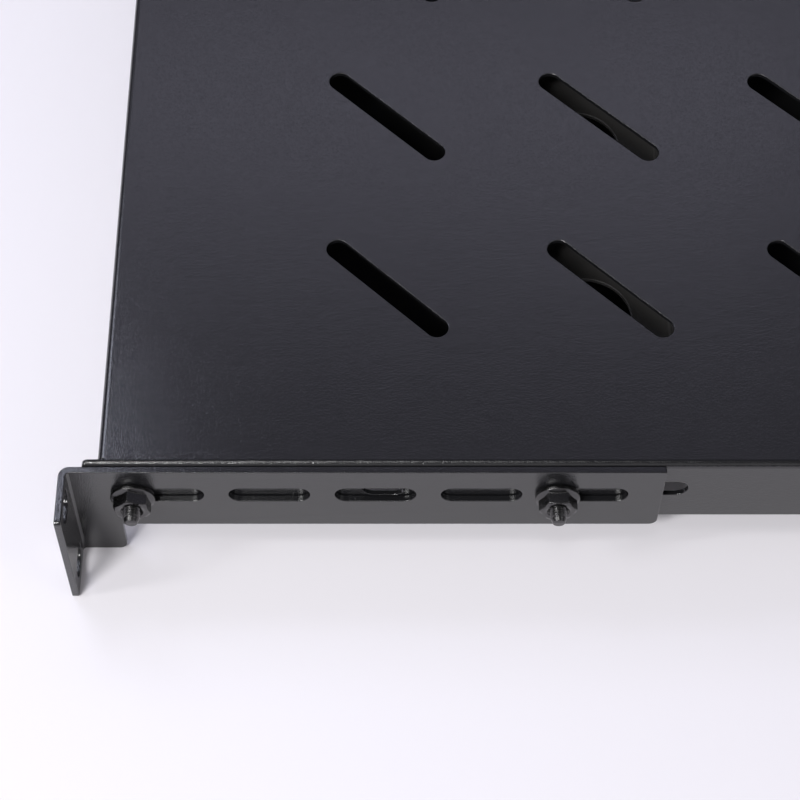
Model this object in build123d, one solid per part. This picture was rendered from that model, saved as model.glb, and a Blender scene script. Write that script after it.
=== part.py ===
from build123d import *

import os

# Four-post rack shelf, one rack unit high: a folded tray with slanted vent slots, two hat-section
# stiffeners under it, and four slotted side brackets with outward ears, each held by two carriage
# bolts and flange nuts. Millimetres. X runs across the rack, Y from front to rear, Z up.
# The origin is at the middle of the shelf, level with the bottom edges of the ears.

# Ears, which follow the 19-inch rack: 482.6 over both ears, hole centres 465.1 apart
ear_reach = 16.3
ear_hole_from_edge = 8.75
ear_hole_spacing_up = 31.75
ear_lower_hole_height = 6.35
ear_hole_length = 10.3
ear_hole_width = 7.1

# Brackets, with lengths along the depth counted from the outer face of the ear
bracket_sheet = 2.0
width_over_brackets = 450.0
ear_height = 43.8
ear_corner_radius = 1.2
bracket_bend_inner_radius = 1.0
bracket_arm_height = 29.4
bracket_foot_length = 15.0
bracket_foot_corner_radius = 2.5
bracket_end_lower_radius = 2.5
bracket_end_upper_radius = 0.8
bracket_slot_count = 5
bracket_slot_pitch = 30.0
bracket_slot_length = 23.0
bracket_slot_width = 7.1
bracket_first_slot_end = 16.6
bracket_end_margin = 9.8
bracket_slot_below_top = 12.4

# Tray
tray_depth = 489.0
tray_sheet = 1.5
tray_bend_inner_radius = 0.5
tray_rise_over_brackets = 0.6
side_flange_height = 28.2
end_lip_height = 24.0
side_tab_reach = 4.4
side_tab_corner_radius = 2.0
corner_relief = 0.4
side_slot_setbacks = (79.8, 160.0)
side_slot_length = 12.2
side_slot_width = 7.1

# Vent slots in the tray
vent_columns = 6
vent_rows = 6
vent_pitch_along = 65.5
vent_pitch_across = 65.0
vent_centre_length = 40.2
vent_width = 6.8
vent_angle_from_depth = 44.0

# Stiffeners
stiffener_setback = 140.0
stiffener_sheet = 1.5
stiffener_web_width = 54.0
stiffener_drop = 15.0
stiffener_foot_width = 10.0
stiffener_bend_inner_radius = 1.0
stiffener_end_clearance = 12.0
stiffener_hole_diameter = 28.0

# Bolts and nuts, number 10 size
bolt_setback = 9.0
bolt_slots_apart = 4
bolt_place_in_slot = 3.0
bolt_diameter = 4.83
bolt_under_head_length = 12.7
bolt_tip_chamfer = 0.6
bolt_head_diameter = 11.6
bolt_head_height = 2.6
bolt_head_rim = 0.4
bolt_head_crown_diameter = 5.6
bolt_neck_width = 4.83
bolt_neck_length = 1.4
bolt_hole_clearance = 0.15
nut_across_flats = 9.525
nut_height = 5.4
nut_flange_diameter = 12.67
nut_flange_rim = 0.9
nut_flange_slope_rise = 1.1
nut_corner_chamfer_rise = 0.6
nut_face_inset = 0.1
nut_bore_clearance = 0.05

# Clearances of the painted faces that slide
coat_gap = 0.1

# Turn of each nut about its bolt, as hand-tightened nuts end up
nut_turns = (-12.7, 0.0)

# Places worked out from the sizes above
panel_width = width_over_brackets + 2 * ear_reach
ear_hole_reach = panel_width / 2 - ear_hole_from_edge
bracket_length = bracket_first_slot_end + (bracket_slot_count - 1) * bracket_slot_pitch
bracket_length += bracket_slot_length + bracket_end_margin
tray_bend_outer_radius = tray_bend_inner_radius + tray_sheet
bracket_bend_outer_radius = bracket_bend_inner_radius + bracket_sheet
tray_width = width_over_brackets - 2 * (bracket_sheet + coat_gap)
tray_top = ear_height + tray_rise_over_brackets
tray_underside = tray_top - tray_sheet
bolt_height = ear_height - bracket_slot_below_top
bracket_plate_middle = width_over_brackets / 2 - bracket_sheet / 2
bracket_outer_face = width_over_brackets / 2
first_bolt_from_ear = bracket_first_slot_end + bolt_place_in_slot
second_bolt_from_ear = first_bolt_from_ear + bolt_slots_apart * bracket_slot_pitch
ear_face_reach = tray_depth / 2 - bolt_setback + first_bolt_from_ear
bolt_reach = (ear_face_reach - first_bolt_from_ear, ear_face_reach - second_bolt_from_ear)
flange_inner_face = tray_width / 2 - tray_sheet
nut_seat = bracket_outer_face + coat_gap

# How far a bracket slides with its nuts loosened, until the bolts meet the ends of the slots
slide_stop_gap = 0.1
slide_in = bolt_place_in_slot - bolt_diameter / 2 - slide_stop_gap
slide_out = bracket_slot_length - bolt_place_in_slot - bolt_diameter / 2 - slide_stop_gap

cos_of_thirty = 3**0.5 / 2


def bend_outline(down, sheet, inner_radius, across=0.0):
    """Outline of a sheet that bends from -X to -Y round an outer corner at the origin.

    It reaches `down` below the corner, and runs `across` beyond the bend towards -X.
    """
    outer_radius = inner_radius + sheet
    quarter = Pos(outer_radius / 2, outer_radius / 2) * Rectangle(outer_radius, outer_radius)
    ring = (Circle(outer_radius) - Circle(inner_radius)) & quarter
    outline = Pos(-outer_radius, -outer_radius) * ring
    drop = down - outer_radius
    outline += Pos(-sheet / 2, -outer_radius - drop / 2) * Rectangle(sheet, drop)
    if across > 0:
        outline += Pos(-outer_radius - across / 2, -sheet / 2) * Rectangle(across, sheet)
    return outline


def side_of_tray():
    """The right-hand bend and flange, longer than the tray by a tab at each end."""
    length = tray_depth + 2 * side_tab_reach
    outline = bend_outline(side_flange_height, tray_sheet, tray_bend_inner_radius)
    placed = Plane(origin=(tray_width / 2, 0, tray_top), x_dir=(1, 0, 0), z_dir=(0, -1, 0)) * outline
    flange = extrude(placed, length / 2, both=True)
    side_view = Plane.YZ * Pos(0, tray_top - side_flange_height / 2) * RectangleRounded(
        length, side_flange_height, side_tab_corner_radius
    )
    return flange & extrude(side_view, tray_width)


def lip_of_tray():
    """The front bend and lip, which stop short of the side flanges at the corner reliefs."""
    length = tray_width - 2 * (tray_bend_outer_radius + corner_relief)
    outline = bend_outline(end_lip_height, tray_sheet, tray_bend_inner_radius)
    placed = Plane(origin=(0, -tray_depth / 2, tray_top), x_dir=(0, -1, 0), z_dir=(-1, 0, 0)) * outline
    return extrude(placed, length / 2, both=True)


def make_tray():
    """The folded tray: top sheet, side flanges, lips, vent slots and the holes in its flanges."""
    flat_width = tray_width - 2 * tray_bend_outer_radius
    flat_depth = tray_depth - 2 * tray_bend_outer_radius
    top = Pos(0, 0, tray_top - tray_sheet / 2) * Box(flat_width, flat_depth, tray_sheet)
    side = side_of_tray()
    lip = lip_of_tray()
    tray = top + side + mirror(side, Plane.YZ) + lip + mirror(lip, Plane.XZ)

    vent = Rot(0, 0, 90 - vent_angle_from_depth) * SlotCenterToCenter(vent_centre_length, vent_width)
    places = GridLocations(vent_pitch_across, vent_pitch_along, vent_rows, vent_columns)
    vents = Plane.XY.offset(tray_underside - tray_sheet) * (Sketch() + places * vent)
    tray -= extrude(vents, 3 * tray_sheet)

    through = tray_width + 2 * tray_sheet
    square = bolt_neck_width + 2 * bolt_hole_clearance
    for end in (-1, 1):
        for reach in bolt_reach:
            tray -= Pos(0, end * reach, bolt_height) * Box(through, square, square)
        for setback in side_slot_setbacks:
            place = Plane.YZ * Pos(end * (tray_depth / 2 - setback), bolt_height)
            slot = place * SlotOverall(side_slot_length, side_slot_width)
            tray -= extrude(slot, through / 2, both=True)
    return tray


def make_stiffener():
    """The front stiffener, a hat section that hangs open side up under the tray."""
    length = 2 * (flange_inner_face - stiffener_end_clearance)
    half_web = stiffener_web_width / 2
    sheet = stiffener_sheet
    half_overall = half_web + stiffener_foot_width
    leg = half_web - sheet / 2
    middle_line = Polyline(
        (-half_overall - sheet, -sheet / 2),
        (-leg, -sheet / 2),
        (-leg, -stiffener_drop + sheet / 2),
        (leg, -stiffener_drop + sheet / 2),
        (leg, -sheet / 2),
        (half_overall + sheet, -sheet / 2),
    )
    middle_line = fillet(middle_line.vertices()[1:-1], stiffener_bend_inner_radius + sheet / 2)
    strip = make_face(offset(middle_line, amount=sheet / 2, kind=Kind.INTERSECTION))
    section = strip & Pos(0, -stiffener_drop / 2) * Rectangle(2 * half_overall, stiffener_drop)
    place = Plane(
        origin=(0, -tray_depth / 2 + stiffener_setback, tray_underside),
        x_dir=(0, 1, 0),
        z_dir=(1, 0, 0),
    )
    stiffener = extrude(place * section, length / 2, both=True)
    places = GridLocations(vent_pitch_across, 1, vent_rows, 1)
    holes = Sketch() + places * Circle(stiffener_hole_diameter / 2)
    floor = Plane(origin=(0, -tray_depth / 2 + stiffener_setback, tray_underside - stiffener_drop))
    return stiffener - extrude(floor * holes, stiffener_drop / 2, both=True)


def bracket_side_view():
    """Outline of the bracket's plate seen from the right, with the ear's face at -Y."""
    ear_face = -ear_face_reach
    arm_bottom = ear_height - bracket_arm_height
    outline = Polyline(
        (ear_face, 0),
        (ear_face + bracket_foot_length, 0),
        (ear_face + bracket_foot_length, arm_bottom),
        (ear_face + bracket_length, arm_bottom),
        (ear_face + bracket_length, ear_height),
        (ear_face, ear_height),
        close=True,
    )
    plate = make_face(outline)
    corners = plate.vertices()
    foot_corner = corners.sort_by_distance((ear_face + bracket_foot_length, 0))[0]
    plate = fillet(foot_corner, bracket_foot_corner_radius)
    lower_end = plate.vertices().sort_by_distance((ear_face + bracket_length, arm_bottom))[0]
    plate = fillet(lower_end, bracket_end_lower_radius)
    upper_end = plate.vertices().sort_by_distance((ear_face + bracket_length, ear_height))[0]
    plate = fillet(upper_end, bracket_end_upper_radius)
    for number in range(bracket_slot_count):
        middle = ear_face + bracket_first_slot_end + bracket_slot_length / 2
        middle += number * bracket_slot_pitch
        plate -= Pos(middle, bolt_height) * SlotOverall(bracket_slot_length, bracket_slot_width)
    return plate


def ear_front_view():
    """Outline of the ear seen from the front, with its two mounting slots."""
    outer = panel_width / 2
    width = outer - bracket_plate_middle
    ear = Pos(bracket_plate_middle + width / 2, ear_height / 2) * Rectangle(width, ear_height)
    outer_corners = ear.vertices().sort_by(Axis.X)[-2:]
    ear = fillet(outer_corners, ear_corner_radius)
    for step in (0, 1):
        height = ear_lower_hole_height + step * ear_hole_spacing_up
        slot = SlotOverall(ear_hole_length, ear_hole_width)
        ear -= Pos(ear_hole_reach, height) * slot
    return ear


def make_bracket():
    """The front right bracket, one sheet folded outward into its ear."""
    inner_face = bracket_outer_face - bracket_sheet
    bend = bracket_bend_outer_radius
    ear_run = panel_width / 2 - inner_face - bend
    folded = bend_outline(bracket_length, bracket_sheet, bracket_bend_inner_radius, ear_run)
    place = Plane(origin=(inner_face, -ear_face_reach, 0), x_dir=(-1, 0, 0), z_dir=(0, 0, 1))
    body = extrude(place * folded, ear_height)
    seen_from_side = extrude(Plane.YZ * bracket_side_view(), panel_width)
    ear_plane = Plane(origin=(0, 0, 0), x_dir=(1, 0, 0), z_dir=(0, -1, 0))
    seen_from_front = extrude(ear_plane * ear_front_view(), 2 * ear_face_reach)
    ear_zone = Pos(inner_face + bend + ear_run / 2, -ear_face_reach, ear_height / 2) * Box(
        ear_run, 2 * bend, ear_height
    )
    return ((body - ear_zone) & seen_from_side) + (body & ear_zone & seen_from_front)


def turned(*half_section):
    """A solid of revolution about X, from the (x, radius) points of its half section."""
    return revolve(Plane.XY * make_face(Polyline(*half_section, close=True)), Axis.X)


def make_bolt():
    """A carriage bolt along +X, its shank starting at the origin under a low crowned head."""
    radius = bolt_diameter / 2
    head_radius = bolt_head_diameter / 2
    tip = bolt_under_head_length
    bolt = turned(
        (-bolt_head_height, 0),
        (-bolt_head_height, bolt_head_crown_diameter / 2),
        (-bolt_head_rim, head_radius),
        (0, head_radius),
        (0, radius),
        (tip - bolt_tip_chamfer, radius),
        (tip, radius - bolt_tip_chamfer),
        (tip, 0),
    )
    neck = Pos(bolt_neck_length / 2, 0, 0) * Box(bolt_neck_length, bolt_neck_width, bolt_neck_width)
    return bolt + neck


def make_nut():
    """A hexagon flange nut along +X, its flange's seat at the origin and its corners chamfered."""
    half_flats = nut_across_flats / 2
    half_corners = half_flats / cos_of_thirty
    flange_radius = nut_flange_diameter / 2
    slope_top = nut_flange_rim + nut_flange_slope_rise
    bore = bolt_diameter / 2 + nut_bore_clearance
    prism = extrude(Plane.YZ * RegularPolygon(half_corners, 6), nut_height)
    chamfered = turned(
        (0, 0),
        (nut_height, 0),
        (nut_height, half_flats - nut_face_inset),
        (nut_height - nut_corner_chamfer_rise, half_corners),
        (0, half_corners),
    )
    flange = turned(
        (0, 0),
        (slope_top, 0),
        (slope_top, half_flats),
        (nut_flange_rim, flange_radius),
        (0, flange_radius),
    )
    hole = Pos(nut_height / 2, 0, 0) * Rot(0, 90, 0) * Cylinder(bore, 2 * nut_height)
    return (prism & chamfered) + flange - hole


def save(solid, name):
    """Writes one piece to its own file."""
    solid.label = name
    export_step(solid, f"parts/{name}.step")


def main():
    os.makedirs("parts", exist_ok=True)
    save(make_tray(), "tray")
    stiffener = make_stiffener()
    save(stiffener, "stiffener_front")
    save(mirror(stiffener, Plane.XZ), "stiffener_rear")

    bracket = make_bracket()
    bolt = make_bolt()
    nut = make_nut()
    for end_name, end in (("front", -1), ("rear", 1)):
        for side_name, side in (("right", 1), ("left", -1)):
            piece = bracket
            if end == 1:
                piece = mirror(piece, Plane.XZ)
            if side == -1:
                piece = mirror(piece, Plane.YZ)
            save(piece, f"bracket_{end_name}_{side_name}")
            facing = Rot(0, 0, 0) if side == 1 else Rot(0, 0, 180)
            for number, reach in enumerate(bolt_reach):
                name = f"{end_name}_{side_name}_{number + 1}"
                seat = Pos(side * flange_inner_face, end * reach, bolt_height)
                save(seat * facing * bolt, f"bolt_{name}")
                face = Pos(side * nut_seat, end * reach, bolt_height)
                save(face * facing * Rot(nut_turns[number], 0, 0) * nut, f"nut_{name}")
    print(f"Each bracket slides {slide_in:.2f} mm inwards and {slide_out:.2f} mm outwards.")


main()
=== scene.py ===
"""Looks of a vented rack shelf: powder-coated folded sheet held by black carriage bolts and nuts.

The folded sheets keep the shapes of the frame's own nodes, with every cut edge eased as a baked
coat leaves it. The bolts and nuts are built here with their threads, crowns and chamfers.
Sizes of the object are in millimetres, those of the studio in metres.
"""

from __future__ import annotations

import logging
import math
from collections.abc import Callable, Sequence
from dataclasses import dataclass, field
from enum import Enum
from typing import Any

import bpy
from mathutils import Matrix, Quaternion, Vector

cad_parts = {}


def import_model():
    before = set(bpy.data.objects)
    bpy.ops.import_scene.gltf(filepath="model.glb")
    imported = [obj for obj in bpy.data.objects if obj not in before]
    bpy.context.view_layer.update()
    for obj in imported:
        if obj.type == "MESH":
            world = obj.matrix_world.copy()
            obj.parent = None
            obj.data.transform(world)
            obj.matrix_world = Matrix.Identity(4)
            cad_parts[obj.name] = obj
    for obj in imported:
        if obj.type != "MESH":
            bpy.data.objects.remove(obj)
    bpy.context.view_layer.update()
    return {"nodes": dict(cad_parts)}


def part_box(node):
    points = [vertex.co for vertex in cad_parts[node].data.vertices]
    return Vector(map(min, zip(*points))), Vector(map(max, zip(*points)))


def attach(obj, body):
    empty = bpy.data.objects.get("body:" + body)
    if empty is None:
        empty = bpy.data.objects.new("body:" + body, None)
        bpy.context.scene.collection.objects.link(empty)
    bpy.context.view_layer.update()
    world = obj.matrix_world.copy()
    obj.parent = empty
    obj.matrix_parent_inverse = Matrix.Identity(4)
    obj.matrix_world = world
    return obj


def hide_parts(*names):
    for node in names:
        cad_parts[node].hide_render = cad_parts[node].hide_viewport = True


MM = 0.001
FULL_TURN = 2 * math.pi
SIXTH_TURN = math.pi / 3
TWELFTH_TURN = math.pi / 6
HEXAGON_CORNERS = 6
LOG = logging.getLogger("rack_shelf")

# The sRGB curve: a straight toe, then a power.
CHANNEL_TOP = 255
TOE_END = 0.04045
TOE_SLOPE = 12.92
CURVE_OFFSET = 0.055
CURVE_POWER = 2.4

# Points of the shelf that lamps aim at, in metres.
BRACKET_FACE = (0.224, -0.17, 0.03)
FRONT_CORNER = (0.215, -0.235, 0.044)

Ring = list[tuple[float, float, float]]
RadiusAt = Callable[[float], float]


class End(Enum):
    """Ends of the shelf, with the word that the frame's names use."""

    FRONT = "front"
    REAR = "rear"


class Side(Enum):
    """Sides of the shelf, with the word that the frame's names use."""

    RIGHT = "right"
    LEFT = "left"

    @property
    def sign(self) -> int:
        """Which way the side faces along X."""
        return 1 if self is Side.RIGHT else -1


class SlotName(Enum):
    """Material slots of the record."""

    POWDER_COAT = "powder_coat"
    FASTENER = "fastener"


def linear_colour(hex_colour: str) -> tuple[float, float, float, float]:
    """Turns an sRGB colour into the linear one that the shaders use.

    Args:
        hex_colour: A colour such as "#1a1a1c".

    Returns:
        Red, green, blue and an alpha of one.
    """
    linear = []
    for start in (1, 3, 5):
        channel = int(hex_colour[start : start + 2], 16) / CHANNEL_TOP
        if channel <= TOE_END:
            linear.append(channel / TOE_SLOPE)
        else:
            linear.append(((channel + CURVE_OFFSET) / (1 + CURVE_OFFSET)) ** CURVE_POWER)
    return linear[0], linear[1], linear[2], 1.0


def sine_of(degrees: float) -> float:
    """The sine of an angle in degrees."""
    return math.sin(math.radians(degrees))


def add_node(
    tree: bpy.types.NodeTree,
    kind: str,
    settings: dict[str, Any] | None = None,
    inputs: dict[str | int, Any] | None = None,
) -> bpy.types.Node:
    """Adds a shader node with its settings, values and links.

    Args:
        tree: The node tree that takes the node.
        kind: The node's type, such as "ShaderNodeBump".
        settings: Properties of the node.
        inputs: Values or output sockets, by the name or number of the input that takes them.

    Returns:
        The new node.
    """
    node = tree.nodes.new(kind)
    for name, value in (settings or {}).items():
        setattr(node, name, value)
    for key, value in (inputs or {}).items():
        if isinstance(value, bpy.types.NodeSocket):
            tree.links.new(value, node.inputs[key])
        else:
            node.inputs[key].default_value = value
    return node


def new_material(name: str) -> tuple[bpy.types.Material, bpy.types.NodeTree]:
    """Makes an empty node material.

    Args:
        name: The material's name.

    Returns:
        The material and its node tree.
    """
    material = bpy.data.materials.new(name)
    material.use_nodes = True
    material.node_tree.nodes.clear()
    return material, material.node_tree


def give_material(piece: bpy.types.Object, material: bpy.types.Material) -> None:
    """Puts one material in every material slot of a piece."""
    if not piece.material_slots:
        piece.data.materials.append(material)
    for slot in piece.material_slots:
        slot.material = material


@dataclass(frozen=True)
class TexturedPowderCoat:
    """Black polyester powder with a fine texture, sprayed dry and baked on steel.

    To the eye it is a nearly black skin with a soft, even gloss. Small irregular pebbles catch
    the lamps as fine glints, and a slow orange peel bends the reflections. The pebbles are drawn
    coarser than real ones, so that they show from as far away as the photograph was taken.
    """

    name: str = "fine_texture_black_powder_coat"
    colour: str = "#161618"
    faded_colour: str = "#1c1c1e"
    ior: float = 1.66
    roughness: tuple[float, float] = (0.1, 0.16)
    pebble_spacing: float = 0.75
    pebble_height: float = 0.07
    cells_per_pebble: float = 1.6
    pebble_detail: float = 2.0
    pebble_jaggedness: float = 0.55
    pebble_levels: tuple[float, float] = (0.3, 0.7)
    peel_width: float = 4.5
    peel_height: float = 0.03
    peel_detail: float = 1.0
    mottle_width: float = 14.0
    mottle_detail: float = 3.0

    def build(self) -> bpy.types.Material:
        """Makes the material.

        Returns:
            The coat, with its patterns laid out in the object's own space.
        """
        material, tree = new_material(self.name)
        place = add_node(tree, "ShaderNodeTexCoord").outputs["Object"]
        pebbles = add_node(
            tree,
            "ShaderNodeTexNoise",
            inputs={
                "Vector": place,
                "Scale": self.cells_per_pebble / (self.pebble_spacing * MM),
                "Detail": self.pebble_detail,
                "Roughness": self.pebble_jaggedness,
            },
        )
        peel = add_node(
            tree,
            "ShaderNodeTexNoise",
            inputs={
                "Vector": place,
                "Scale": 1 / (self.peel_width * MM),
                "Detail": self.peel_detail,
            },
        )
        mottle = add_node(
            tree,
            "ShaderNodeTexNoise",
            inputs={
                "Vector": place,
                "Scale": 1 / (self.mottle_width * MM),
                "Detail": self.mottle_detail,
            },
        )
        colour = add_node(
            tree,
            "ShaderNodeMix",
            {"data_type": "RGBA"},
            {
                0: mottle.outputs[0],
                6: linear_colour(self.colour),
                7: linear_colour(self.faded_colour),
            },
        )
        roughness = add_node(
            tree,
            "ShaderNodeMapRange",
            inputs={
                "Value": pebbles.outputs[0],
                "From Min": self.pebble_levels[0],
                "From Max": self.pebble_levels[1],
                "To Min": self.roughness[0],
                "To Max": self.roughness[1],
            },
        )
        slow = add_node(
            tree,
            "ShaderNodeBump",
            inputs={"Distance": self.peel_height * MM, "Height": peel.outputs[0]},
        )
        fine = add_node(
            tree,
            "ShaderNodeBump",
            inputs={
                "Distance": self.pebble_height * MM,
                "Height": pebbles.outputs[0],
                "Normal": slow.outputs[0],
            },
        )
        skin = add_node(
            tree,
            "ShaderNodeBsdfPrincipled",
            inputs={
                "Base Color": colour.outputs[2],
                "Roughness": roughness.outputs[0],
                "IOR": self.ior,
                "Normal": fine.outputs[0],
            },
        )
        add_node(tree, "ShaderNodeOutputMaterial", inputs={"Surface": skin.outputs[0]})
        return material


@dataclass(frozen=True)
class BlackZincSteel:
    """Carbon steel, cold headed and thread rolled, then zinc plated and passivated black.

    To the eye it is a dark mirror with soft edges: flats stay nearly black, and crests and
    corners shine where they turn to a lamp.
    """

    name: str = "black_zinc_plated_steel"
    colour: str = "#4b4b4d"
    worn_colour: str = "#5d5c5b"
    roughness: tuple[float, float] = (0.2, 0.32)
    grain_width: float = 0.25
    grain_height: float = 0.004
    grain_detail: float = 3.0

    def build(self) -> bpy.types.Material:
        """Makes the material.

        Returns:
            The plated steel, with its grain laid out in the object's own space.
        """
        material, tree = new_material(self.name)
        place = add_node(tree, "ShaderNodeTexCoord").outputs["Object"]
        grain = add_node(
            tree,
            "ShaderNodeTexNoise",
            inputs={
                "Vector": place,
                "Scale": 1 / (self.grain_width * MM),
                "Detail": self.grain_detail,
            },
        )
        colour = add_node(
            tree,
            "ShaderNodeMix",
            {"data_type": "RGBA"},
            {
                0: grain.outputs[0],
                6: linear_colour(self.colour),
                7: linear_colour(self.worn_colour),
            },
        )
        roughness = add_node(
            tree,
            "ShaderNodeMapRange",
            inputs={
                "Value": grain.outputs[0],
                "To Min": self.roughness[0],
                "To Max": self.roughness[1],
            },
        )
        bump = add_node(
            tree,
            "ShaderNodeBump",
            inputs={"Distance": self.grain_height * MM, "Height": grain.outputs[0]},
        )
        plate = add_node(
            tree,
            "ShaderNodeBsdfPrincipled",
            inputs={
                "Base Color": colour.outputs[2],
                "Metallic": 1.0,
                "Roughness": roughness.outputs[0],
                "Normal": bump.outputs[0],
            },
        )
        add_node(tree, "ShaderNodeOutputMaterial", inputs={"Surface": plate.outputs[0]})
        return material


@dataclass(frozen=True)
class PaleTableTop:
    """Matt white laminate, pressed smooth, that the shelf stands on.

    To the eye it is an even pale field that keeps the shelf's shadow. Under the tray it also has a
    painted shadow: its colour turns nearly black there, so that the vents stay as black as the
    photograph has them.
    """

    name: str = "matt_white_laminate"
    colour: str = "#e9e6eb"
    # Painted shadow: the nearly black colour that the table takes under the tray.
    shaded_colour: str = "#0e0e0f"
    shaded_half: tuple[float, float] = (0.2, 0.24)
    shade_edge: float = 0.03
    roughness: float = 0.8

    def build(self) -> bpy.types.Material:
        """Makes the material.

        Returns:
            The laminate, with its painted shadow centred on the object's own origin.
        """
        material, tree = new_material(self.name)
        place = add_node(tree, "ShaderNodeTexCoord").outputs["Object"]
        parts = add_node(tree, "ShaderNodeSeparateXYZ", inputs={"Vector": place})
        outside = []
        for axis, half in zip("XY", self.shaded_half, strict=True):
            away = add_node(
                tree, "ShaderNodeMath", {"operation": "ABSOLUTE"}, {0: parts.outputs[axis]}
            )
            past = add_node(
                tree, "ShaderNodeMath", {"operation": "SUBTRACT"}, {0: away.outputs[0], 1: half}
            )
            outside.append(past.outputs[0])
        farthest = add_node(
            tree, "ShaderNodeMath", {"operation": "MAXIMUM"}, {0: outside[0], 1: outside[1]}
        )
        lit = add_node(
            tree,
            "ShaderNodeMapRange",
            {"interpolation_type": "SMOOTHSTEP"},
            {"Value": farthest.outputs[0], "From Min": -self.shade_edge, "From Max": 0.0},
        )
        colour = add_node(
            tree,
            "ShaderNodeMix",
            {"data_type": "RGBA"},
            {
                0: lit.outputs[0],
                6: linear_colour(self.shaded_colour),
                7: linear_colour(self.colour),
            },
        )
        top = add_node(
            tree,
            "ShaderNodeBsdfPrincipled",
            inputs={"Base Color": colour.outputs[2], "Roughness": self.roughness},
        )
        add_node(tree, "ShaderNodeOutputMaterial", inputs={"Surface": top.outputs[0]})
        return material


@dataclass(frozen=True)
class CoatedEdges:
    """The rounding that a coat of powder leaves on the cut edges of a sheet.

    Faces within "flat_within" degrees of each other are one flat, and edges sharper than
    "eased_from" degrees are rounded.
    """

    radius: float = 0.25
    steps: int = 3
    flat_within: float = 1.0
    eased_from: float = 40.0
    weld_within: float = 0.0005
    flat_weight: int = 100

    def ease(self, node: bpy.types.Object) -> None:
        """Adds the rounding to a node as modifiers, which leave its own mesh as it is.

        Args:
            node: A node of the frame.
        """
        weld = node.modifiers.new("one_skin", "WELD")
        weld.merge_threshold = self.weld_within * MM
        flats = node.modifiers.new("whole_flats", "DECIMATE")
        flats.decimate_type = "DISSOLVE"
        flats.angle_limit = math.radians(self.flat_within)
        rounding = node.modifiers.new("eased_edges", "BEVEL")
        rounding.width = self.radius * MM
        rounding.segments = self.steps
        rounding.limit_method = "ANGLE"
        rounding.angle_limit = math.radians(self.eased_from)
        rounding.miter_outer = "MITER_ARC"
        # The short edges at the slots' ends would clamp the rounding to nothing, so it isn't
        # clamped, and it keeps an even width instead of sliding along the edges inside the flats.
        rounding.use_clamp_overlap = False
        rounding.loop_slide = False
        shading = node.modifiers.new("flats_stay_flat", "WEIGHTED_NORMAL")
        shading.weight = self.flat_weight


def ring_of(radius_at: RadiusAt, x_at: RadiusAt, angles: Sequence[float]) -> Ring:
    """A closed ring of points round the X axis.

    Args:
        radius_at: The ring's radius in millimetres at an angle.
        x_at: Its place along the axis in millimetres at an angle.
        angles: The angles of its points, in radians from +Y towards +Z.

    Returns:
        The points, in metres.
    """
    points = []
    for angle in angles:
        radius = radius_at(angle) * MM
        points.append((x_at(angle) * MM, radius * math.cos(angle), radius * math.sin(angle)))
    return points


def plain_ring(x: float, radius: float, angles: Sequence[float]) -> Ring:
    """A round ring at one place along the axis, in millimetres."""
    return ring_of(lambda _: radius, lambda _: x, angles)


def skin(name: str, rings: Sequence[Ring], loops_back: bool) -> bpy.types.Mesh:
    """Joins rings into a closed skin.

    Args:
        name: The mesh's name.
        rings: Rings of equal length, in order along the outline.
        loops_back: True if the last ring joins the first, False if both ends are capped.

    Returns:
        The mesh, shaded smooth.
    """
    count = len(rings[0])
    points = [point for ring in rings for point in ring]
    faces = []
    last = len(rings) if loops_back else len(rings) - 1
    for i in range(last):
        here = i * count
        following = ((i + 1) % len(rings)) * count
        for j in range(count):
            k = (j + 1) % count
            faces.append((here + j, here + k, following + k, following + j))
    if not loops_back:
        for start, backwards in ((0, True), (len(rings) - 1, False)):
            middle = len(points)
            points.append((rings[start][0][0], 0.0, 0.0))
            for j in range(count):
                k = (j + 1) % count
                edge = (start * count + j, start * count + k)
                faces.append((middle, *(edge[::-1] if backwards else edge)))
    mesh = bpy.data.meshes.new(name)
    mesh.from_pydata(points, [], faces)
    mesh.validate()
    mesh.shade_smooth()
    return mesh


@dataclass(frozen=True)
class UnifiedThread:
    """A number 10-32 thread, right-handed, cut at 60 degrees."""

    major_radius: float = 2.415
    pitch: float = 25.4 / 32
    depth: float = 0.47
    root_share: float = 0.25
    crest_share: float = 0.125

    def radius(self, x: float, angle: float) -> float:
        """The thread's radius, in millimetres.

        Args:
            x: Place along the axis, in millimetres.
            angle: Angle round the axis, in radians.

        Returns:
            A radius between the root and the crest.
        """
        phase = (x / self.pitch - angle / FULL_TURN) % 1.0
        from_root = min(phase, 1.0 - phase) - self.root_share / 2
        flank = 0.5 - self.root_share / 2 - self.crest_share / 2
        share = min(max(from_root / flank, 0.0), 1.0)
        return self.major_radius - self.depth * (1.0 - share)


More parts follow.
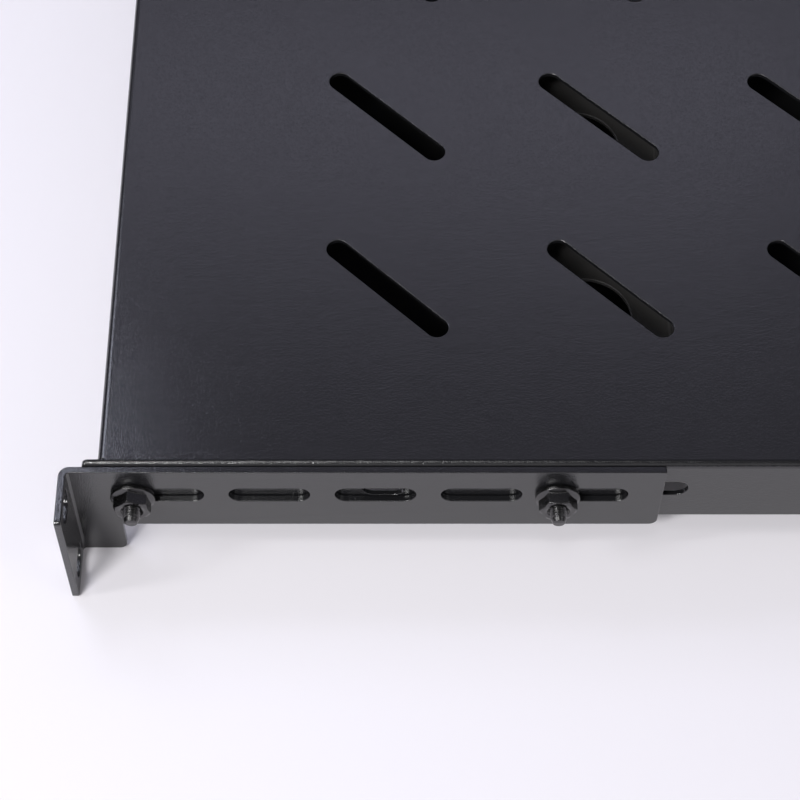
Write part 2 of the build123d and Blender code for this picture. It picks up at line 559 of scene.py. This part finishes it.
@dataclass
class CarriageBolt:
    """A carriage bolt along +X, its shank starting at the origin under a domed head."""

    under_head_length: float
    head_height: float
    head_radius: float
    thread: UnifiedThread = field(default_factory=UnifiedThread)
    head_rim: float = 0.4
    rim_rounding: float = 0.15
    rim_inset: float = 0.05
    crown_share: float = 0.15
    neck_half_width: float = 2.415
    neck_length: float = 1.4
    neck_corner_share: float = 1.28
    tip_radius: float = 1.7
    tip_slope: float = 0.42
    points_round: int = 56
    rings_per_pitch: int = 9
    dome_rings: int = 9

    def angles(self) -> list[float]:
        """The angles of every ring's points."""
        return [FULL_TURN * j / self.points_round for j in range(self.points_round)]

    def head(self) -> list[Ring]:
        """Rings of the dome and its rim, from the crown down to the shank."""
        angles = self.angles()
        dome_height = self.head_height - self.head_rim
        sphere = (self.head_radius**2 + dome_height**2) / (2 * dome_height)
        half_angle = math.asin(self.head_radius / sphere)
        rings = []
        for i in range(1, self.dome_rings + 1):
            slope = half_angle * (i - self.crown_share) / self.dome_rings
            drop = sphere * (1 - math.cos(slope))
            rings.append(plain_ring(drop - self.head_height, sphere * math.sin(slope), angles))
        rounding = self.rim_rounding
        rings += [
            plain_ring(-self.head_rim, self.head_radius - self.rim_inset, angles),
            plain_ring(-self.head_rim + rounding, self.head_radius, angles),
            plain_ring(-rounding, self.head_radius, angles),
            plain_ring(0, self.head_radius - rounding, angles),
        ]
        return rings

    def neck(self) -> list[Ring]:
        """Rings of the square neck, with its corners rounded by the heading die."""

        def square(angle: float) -> float:
            reach = self.neck_half_width / max(abs(math.cos(angle)), abs(math.sin(angle)))
            return min(reach, self.neck_half_width * self.neck_corner_share)

        angles = self.angles()
        under_head = ring_of(square, lambda _: 0.0, angles)
        return [under_head, ring_of(square, lambda _: self.neck_length, angles)]

    def shank(self) -> list[Ring]:
        """Rings of the threaded shank, which runs out into the chamfer at the tip."""
        length = self.under_head_length
        step = self.thread.pitch / self.rings_per_pitch
        start = self.neck_length + step
        count = int((length - start) / step)
        rings = []
        for i in range(count + 1):
            x = start + (length - start) * i / count
            chamfer = self.tip_radius + (length - x) * self.tip_slope

            def radius(angle: float, x: float = x, chamfer: float = chamfer) -> float:
                return min(self.thread.radius(x, angle), chamfer)

            rings.append(ring_of(radius, lambda _, x=x: x, self.angles()))
        return rings

    def mesh(self) -> bpy.types.Mesh:
        """The whole bolt as one closed mesh."""
        return skin("carriage_bolt", self.head() + self.neck() + self.shank(), loops_back=False)


@dataclass
class FlangeNut:
    """A hexagon flange nut along +X, its flange's seat at the origin and two flats up and down."""

    height: float
    flange_radius: float
    half_flats: float
    thread: UnifiedThread = field(default_factory=UnifiedThread)
    corner_rounding: float = 0.2
    rim_height: float = 1.45
    rim_rounding: float = 0.2
    rim_turns: tuple[float, ...] = (0.0, 0.3, 0.6, 0.9)
    seat_edge: float = 0.1
    skirt_slope: float = 0.3
    skirt_fillet: float = 0.15
    fillet_middle: tuple[float, float] = (0.05, 0.025)
    face_radius: float = 4.6
    chamfer_slope: float = math.tan(TWELFTH_TURN)
    edge_rounding: float = 0.12
    edge_middle: tuple[float, float] = (0.04, 0.03)
    sink_radius: float = 3.15
    thread_clearance: float = 0.06
    seat_radius: float = 2.9
    threaded_turns: int = 3
    rings_per_pitch: int = 9
    corner_steps: tuple[float, ...] = (0.0, 0.4, 0.75, 1.0)
    flat_steps: tuple[float, ...] = (2.5, 6.0, 10.0, 14.0, 18.0, 22.0, 26.0, 30.0)

    def corner_spread(self) -> float:
        """Half the angle that a rounded corner takes, in radians."""
        centre_on_flat = (self.half_flats - self.corner_rounding) * math.tan(TWELFTH_TURN)
        return TWELFTH_TURN - math.atan(centre_on_flat / self.half_flats)

    def angles(self) -> list[float]:
        """The angles of every ring's points, close together at the hexagon's corners."""
        spread = self.corner_spread()
        half = [spread * step for step in self.corner_steps]
        half += [math.radians(step) for step in self.flat_steps]
        whole = [-a for a in reversed(half[1:-1])] + half
        return [corner * SIXTH_TURN + a for corner in range(HEXAGON_CORNERS) for a in whole]

    def hexagon(self, angle: float) -> float:
        """Rounds off the corners of a hexagon that has one at +Y and every sixth of a turn.

        Args:
            angle: An angle round the axis, in radians.

        Returns:
            The hexagon's radius there, in millimetres.
        """
        from_corner = abs((angle + TWELFTH_TURN) % SIXTH_TURN - TWELFTH_TURN)
        if from_corner >= self.corner_spread():
            return self.half_flats / math.cos(TWELFTH_TURN - from_corner)
        centre = (self.half_flats - self.corner_rounding) / math.cos(TWELFTH_TURN)
        across = centre * math.sin(from_corner)
        return centre * math.cos(from_corner) + math.sqrt(self.corner_rounding**2 - across**2)

    def flange(self) -> list[Ring]:
        """Rings of the seat and the rounded rim."""
        angles = self.angles()
        rings = [
            plain_ring(0, self.seat_radius, angles),
            plain_ring(0, self.flange_radius - self.seat_edge, angles),
            plain_ring(self.seat_edge, self.flange_radius, angles),
        ]
        for turn in self.rim_turns:
            inwards = self.rim_rounding * (1 - math.cos(turn * FULL_TURN / 4))
            below = self.rim_rounding * (1 - math.sin(turn * FULL_TURN / 4))
            rings.append(plain_ring(self.rim_height - below, self.flange_radius - inwards, angles))
        return rings

    def sides(self) -> list[Ring]:
        """Rings from the skirt up the hexagon to the round edge of its front face."""
        angles = self.angles()
        fillet = self.skirt_fillet
        edge = self.edge_rounding
        slope = self.chamfer_slope

        def skirt(outside: float, lift: float) -> Ring:
            """A ring on the skirt or in its fillet, outside the hexagon."""

            def x_at(angle: float) -> float:
                reach = self.flange_radius - self.hexagon(angle) - outside
                return self.rim_height + reach * self.skirt_slope + lift

            return ring_of(lambda a: self.hexagon(a) + outside, x_at, angles)

        def chamfer(inside: float, below: float) -> Ring:
            """A ring on the chamfer or its rounded edge, inside the hexagon."""

            def x_at(angle: float) -> float:
                past_face = self.hexagon(angle) - self.face_radius
                return self.height - past_face * slope - below

            return ring_of(lambda a: self.hexagon(a) - inside, x_at, angles)

        return [
            skirt(fillet, 0.0),
            skirt(*self.fillet_middle),
            skirt(0.0, fillet),
            chamfer(0.0, edge),
            chamfer(*self.edge_middle),
            chamfer(edge, -edge * slope),
            plain_ring(self.height - edge * slope, self.face_radius + edge, angles),
            plain_ring(self.height, self.face_radius - edge, angles),
        ]

    def bore(self) -> list[Ring]:
        """Rings of the countersink, the first turns of thread and the plain rest of the bore."""
        angles = self.angles()
        edge = self.edge_rounding
        rings = [
            plain_ring(self.height, self.sink_radius + edge, angles),
            plain_ring(self.height - edge, self.sink_radius, angles),
        ]
        top = self.height - 2 * edge
        step = self.thread.pitch / self.rings_per_pitch
        for i in range(self.threaded_turns * self.rings_per_pitch):
            x = top - i * step
            cone = self.sink_radius - (top - x)

            def radius(angle: float, x: float = x, cone: float = cone) -> float:
                return max(self.thread.radius(x, angle) + self.thread_clearance, cone)

            rings.append(ring_of(radius, lambda _, x=x: x, angles))
        plain = self.thread.major_radius + self.thread_clearance
        rings.append(plain_ring(top - self.threaded_turns * self.thread.pitch, plain, angles))
        rings.append(plain_ring(self.seat_radius - plain, plain, angles))
        return rings

    def mesh(self) -> bpy.types.Mesh:
        """The whole nut as one closed mesh."""
        return skin("flange_nut", self.flange() + self.sides() + self.bore(), loops_back=True)


@dataclass
class SheetWork:
    """The folded sheets: the tray, its two stiffeners and the four slotted brackets."""

    names: tuple[str, ...]
    hidden_names: tuple[str, ...]
    edges: CoatedEdges = field(default_factory=CoatedEdges)
    coat: TexturedPowderCoat = field(default_factory=TexturedPowderCoat)
    # The stiffeners under the tray are painted a greyer, lighter black than the rest, duller and
    # without glints: painted light, which stands in for the light that falls on them through the
    # vents.
    stiffener_coat_painted_light: TexturedPowderCoat = field(
        default_factory=lambda: TexturedPowderCoat(
            name="black_powder_coat_painted_light",
            # Painted light: this grey is lighter than the coat's own black, so that the stiffeners
            # look lit.
            colour="#343333",
            faded_colour="#3a3938",
            roughness=(0.4, 0.5),
        )
    )

    def dress(self, nodes: dict[str, bpy.types.Object]) -> None:
        """Gives each sheet its eased edges and its coat.

        Args:
            nodes: The frame's nodes by name.
        """
        for names, coat in ((self.names, self.coat), (self.hidden_names, self.stiffener_coat_painted_light)):
            material = coat.build()
            for name in names:
                self.edges.ease(nodes[name])
                give_material(nodes[name], material)
                LOG.info("dressed %s", name)


@dataclass
class Fasteners:
    """The eight carriage bolts and flange nuts, which stay with the tray."""

    ends: tuple[End, ...] = (End.FRONT, End.REAR)
    sides: tuple[Side, ...] = (Side.RIGHT, Side.LEFT)
    nut_turns: tuple[float, ...] = (-20.0, 2.0)
    nut_half_flats: float = 4.7625
    bolt_head_height: float = 2.6
    body: str = "tray"
    plating: BlackZincSteel = field(default_factory=BlackZincSteel)

    def add(self, name: str, mesh: bpy.types.Mesh, place: Matrix, node: str) -> None:
        """Puts one fastener in its place, in place of the frame's plain one.

        Args:
            name: The new piece's name.
            mesh: Its mesh, along +X from the origin.
            place: Where it goes in the shelf's frame.
            node: The frame's node that it stands for.
        """
        piece = bpy.data.objects.new(name, mesh)
        bpy.context.scene.collection.objects.link(piece)
        piece.matrix_world = place
        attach(piece, self.body)
        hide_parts(node)
        LOG.info("built %s", name)

    def build(self) -> None:
        """Builds every bolt and nut where the frame has it."""
        low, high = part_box("bolt_front_right_1")
        size = (high - low) / MM
        bolt = CarriageBolt(
            under_head_length=size.x - self.bolt_head_height,
            head_height=self.bolt_head_height,
            head_radius=size.z / 2,
        )
        low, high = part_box("nut_front_right_2")
        size = (high - low) / MM
        nut = FlangeNut(
            height=size.x, flange_radius=size.z / 2, half_flats=self.nut_half_flats
        )
        bolt_mesh = bolt.mesh()
        nut_mesh = nut.mesh()
        material = self.plating.build()
        bolt_mesh.materials.append(material)
        nut_mesh.materials.append(material)
        for end in self.ends:
            for side in self.sides:
                for number, turn in enumerate(self.nut_turns, 1):
                    self.place_pair(end, side, number, turn, bolt, bolt_mesh, nut_mesh)

    def place_pair(
        self,
        end: End,
        side: Side,
        number: int,
        turn: float,
        bolt: CarriageBolt,
        bolt_mesh: bpy.types.Mesh,
        nut_mesh: bpy.types.Mesh,
    ) -> None:
        """Places a bolt and its nut.

        Args:
            end: The end of the shelf that they are at.
            side: The side that they are on.
            number: Their number, counted inwards from the ear.
            turn: The nut's turn about the bolt, in degrees.
            bolt: The bolt's sizes.
            bolt_mesh: The bolt's mesh.
            nut_mesh: The nut's mesh.
        """
        label = f"{end.value}_{side.value}_{number}"
        facing = Matrix.Identity(4) if side is Side.RIGHT else Matrix.Rotation(math.pi, 4, "Z")
        low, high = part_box(f"bolt_{label}")
        tip = high.x if side is Side.RIGHT else low.x
        middle = (low + high) / 2
        under_head = Vector((tip - side.sign * bolt.under_head_length * MM, middle.y, middle.z))
        place = Matrix.Translation(under_head) @ facing
        self.add(f"carriage_bolt_{label}", bolt_mesh, place, f"bolt_{label}")
        low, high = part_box(f"nut_{label}")
        seat = Vector((low.x if side is Side.RIGHT else high.x, middle.y, middle.z))
        turned = facing @ Matrix.Rotation(math.radians(turn), 4, "X")
        place = Matrix.Translation(seat) @ turned
        self.add(f"flange_nut_{label}", nut_mesh, place, f"nut_{label}")


@dataclass(frozen=True)
class Softbox:
    """A lamp behind a sheet of white cloth."""

    name: str
    location: tuple[float, float, float]
    aim: tuple[float, float, float]
    width: float
    height: float
    radiance: float
    colour: str = "#ffffff"
    roll: float = 0.0

    def place(self) -> None:
        """Hangs the lamp so that it faces the point that it aims at."""
        light = bpy.data.lights.new(self.name, "AREA")
        light.shape = "RECTANGLE"
        light.size = self.width
        light.size_y = self.height
        light.energy = self.radiance * math.pi * self.width * self.height
        light.color = linear_colour(self.colour)[:3]
        lamp = bpy.data.objects.new(self.name, light)
        bpy.context.scene.collection.objects.link(lamp)
        lamp.visible_camera = False
        lamp.location = self.location
        away = Vector(self.location) - Vector(self.aim)
        roll = Quaternion((0.0, 0.0, 1.0), math.radians(self.roll))
        lamp.rotation_euler = (away.to_track_quat("Z", "Y") @ roll).to_euler()


@dataclass(frozen=True)
class PhotoCamera:
    """The camera, placed from the tray's front right corner as the photograph's was.

    Its sizes are in millimetres and its angles in degrees.
    """

    focal_length: float = 95.83
    sensor_width: float = 36.0
    beside_corner: float = 300.65
    behind_corner: float = 79.31
    above_corner: float = 510.56
    elevation: float = 57.749
    yaw: float = 0.91
    roll: float = 0.796
    side_tab: float = 4.4
    clip_start: float = 10.0

    def place(self) -> None:
        """Creates the camera and makes it the scene's own."""
        low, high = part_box("tray")
        # The tray's box reaches past its front edge by the length of its side tab.
        corner = Vector((high.x, low.y + self.side_tab * MM, high.z))
        data = bpy.data.cameras.new("photo_camera")
        data.lens = self.focal_length
        data.sensor_width = self.sensor_width
        data.clip_start = self.clip_start * MM
        camera = bpy.data.objects.new("photo_camera", data)
        bpy.context.scene.collection.objects.link(camera)
        steep = math.radians(self.elevation)
        yaw = math.radians(self.yaw)
        roll = math.radians(self.roll)
        along = math.cos(steep)
        ahead = Vector((-math.cos(yaw) * along, math.sin(yaw) * along, -math.sin(steep)))
        level = Vector((math.sin(yaw), math.cos(yaw), 0.0))
        upright = level.cross(ahead)
        right = math.cos(roll) * level + math.sin(roll) * upright
        up = math.cos(roll) * upright - math.sin(roll) * level
        turn = Matrix((right, up, -ahead)).transposed().to_4x4()
        offset = Vector((self.beside_corner, self.behind_corner, self.above_corner)) * MM
        camera.matrix_world = Matrix.Translation(corner + offset) @ turn
        bpy.context.scene.camera = camera


@dataclass
class Studio:
    """The table top, the lamps and the pale room round the shelf."""

    table_half_width: float = 4.0
    table: PaleTableTop = field(default_factory=PaleTableTop)
    camera: PhotoCamera = field(default_factory=PhotoCamera)
    far_wall_colour: str = "#e8e6ff"
    near_wall_colour: str = "#fdfbff"
    far_wall_radiance: float = 0.265
    near_wall_radiance: float = 0.5
    horizon_radiance: float = 0.04
    ceiling_radiance: float = 0.105
    wall_foot: float = 15.0
    far_wall_top: float = 66.0
    near_wall_top: float = 50.0
    foot_blend: float = 5.0
    top_blend: float = 2.0
    side_blend: float = 0.2
    softboxes: tuple[Softbox, ...] = (
        Softbox(
            name="front_strip",
            location=(1.078, -0.847, 1.239),
            aim=(0.224, 0.057, 0.234),
            width=0.2,
            height=0.81,
            radiance=46.0,
            roll=-30.7,
        ),
        Softbox("left_strip", (0.432, -1.194, 1.238), BRACKET_FACE, 0.15, 0.5, 13.0),
        Softbox("overhead_softbox", (0.64, -0.266, 1.574), BRACKET_FACE, 0.3, 0.3, 5.6),
        Softbox("rear_softbox", (0.944, 0.95, 0.83), BRACKET_FACE, 0.35, 0.35, 4.0),
        Softbox("corner_lamp", (0.008, -0.363, 0.42), FRONT_CORNER, 0.06, 0.06, 14.0, "#e8ecff"),
        Softbox("corner_card", (-0.137, -0.587, 0.536), FRONT_CORNER, 0.2, 0.2, 4.8, "#e8ecff"),
        Softbox(
            name="far_strip",
            location=(-0.544, -0.16, 0.787),
            aim=(0.125, -0.16, 0.044),
            width=0.8,
            height=0.16,
            radiance=1.15,
            colour="#e8e6ff",
        ),
    )

    def lay_table(self) -> None:
        """Lays the pale table top under the shelf."""
        half = self.table_half_width
        mesh = bpy.data.meshes.new("table_top")
        corners = [(-half, -half, 0), (half, -half, 0), (half, half, 0), (-half, half, 0)]
        mesh.from_pydata(corners, [], [(0, 1, 2, 3)])
        mesh.materials.append(self.table.build())
        top = bpy.data.objects.new("table_top", mesh)
        bpy.context.scene.collection.objects.link(top)
        LOG.info("laid %s", top.name)

    def light_room(self) -> None:
        """Gives the room a pale far wall, a brighter near one and a dim ceiling."""
        world = bpy.data.worlds.new("pale_room")
        world.use_nodes = True
        tree = world.node_tree
        tree.nodes.clear()
        place = add_node(tree, "ShaderNodeTexCoord").outputs["Generated"]
        direction = add_node(tree, "ShaderNodeSeparateXYZ", inputs={"Vector": place})
        height = direction.outputs["Z"]
        side_span = (-self.side_blend, self.side_blend)
        nearness = self.ease(tree, direction.outputs["X"], side_span, (0.0, 1.0))
        foot_span = (
            sine_of(self.wall_foot - self.foot_blend),
            sine_of(self.wall_foot + self.foot_blend),
        )
        walls = []
        for radiance, top in (
            (self.far_wall_radiance, self.far_wall_top),
            (self.near_wall_radiance, self.near_wall_top),
        ):
            foot = self.ease(tree, height, foot_span, (self.horizon_radiance, radiance))
            top_span = (sine_of(top - self.top_blend), sine_of(top + self.top_blend))
            above = self.ease(tree, height, top_span, (0.0, 1.0))
            wall = add_node(
                tree, "ShaderNodeMix", inputs={0: above, 2: foot, 3: self.ceiling_radiance}
            )
            walls.append(wall.outputs[0])
        strength = add_node(tree, "ShaderNodeMix", inputs={0: nearness, 2: walls[0], 3: walls[1]})
        colour = add_node(
            tree,
            "ShaderNodeMix",
            {"data_type": "RGBA"},
            {
                0: nearness,
                6: linear_colour(self.far_wall_colour),
                7: linear_colour(self.near_wall_colour),
            },
        )
        room = add_node(
            tree,
            "ShaderNodeBackground",
            inputs={"Color": colour.outputs[2], "Strength": strength.outputs[0]},
        )
        add_node(tree, "ShaderNodeOutputWorld", inputs={"Surface": room.outputs[0]})
        bpy.context.scene.world = world

    def ease(
        self,
        tree: bpy.types.NodeTree,
        value: bpy.types.NodeSocket,
        span: tuple[float, float],
        result: tuple[float, float],
    ) -> bpy.types.NodeSocket:
        """Eases from one value to another as a direction turns.

        Args:
            tree: The world's nodes.
            value: One component of the direction.
            span: Where the change starts and ends.
            result: The values before and after it.

        Returns:
            The eased value.
        """
        eased = add_node(
            tree,
            "ShaderNodeMapRange",
            {"interpolation_type": "SMOOTHSTEP"},
            {
                "Value": value,
                "From Min": span[0],
                "From Max": span[1],
                "To Min": result[0],
                "To Max": result[1],
            },
        )
        return eased.outputs[0]

    def build(self) -> None:
        """Sets up the table, the room, the lamps and the camera."""
        self.lay_table()
        self.light_room()
        for softbox in self.softboxes:
            softbox.place()
        self.camera.place()
        bpy.context.scene.view_settings.view_transform = "Standard"


def main() -> None:
    """Builds the shelf's looks round the frame and reports each piece."""
    logging.basicConfig(level=logging.INFO, format="%(name)s: %(message)s")
    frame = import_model()
    open_sheets = ["tray"] + [f"bracket_{end.value}_{side.value}" for end in End for side in Side]
    hidden_sheets = [f"stiffener_{end.value}" for end in End]
    SheetWork(tuple(open_sheets), tuple(hidden_sheets)).dress(frame["nodes"])
    Fasteners().build()
    Studio().build()


if __name__ == "__main__":
    main()
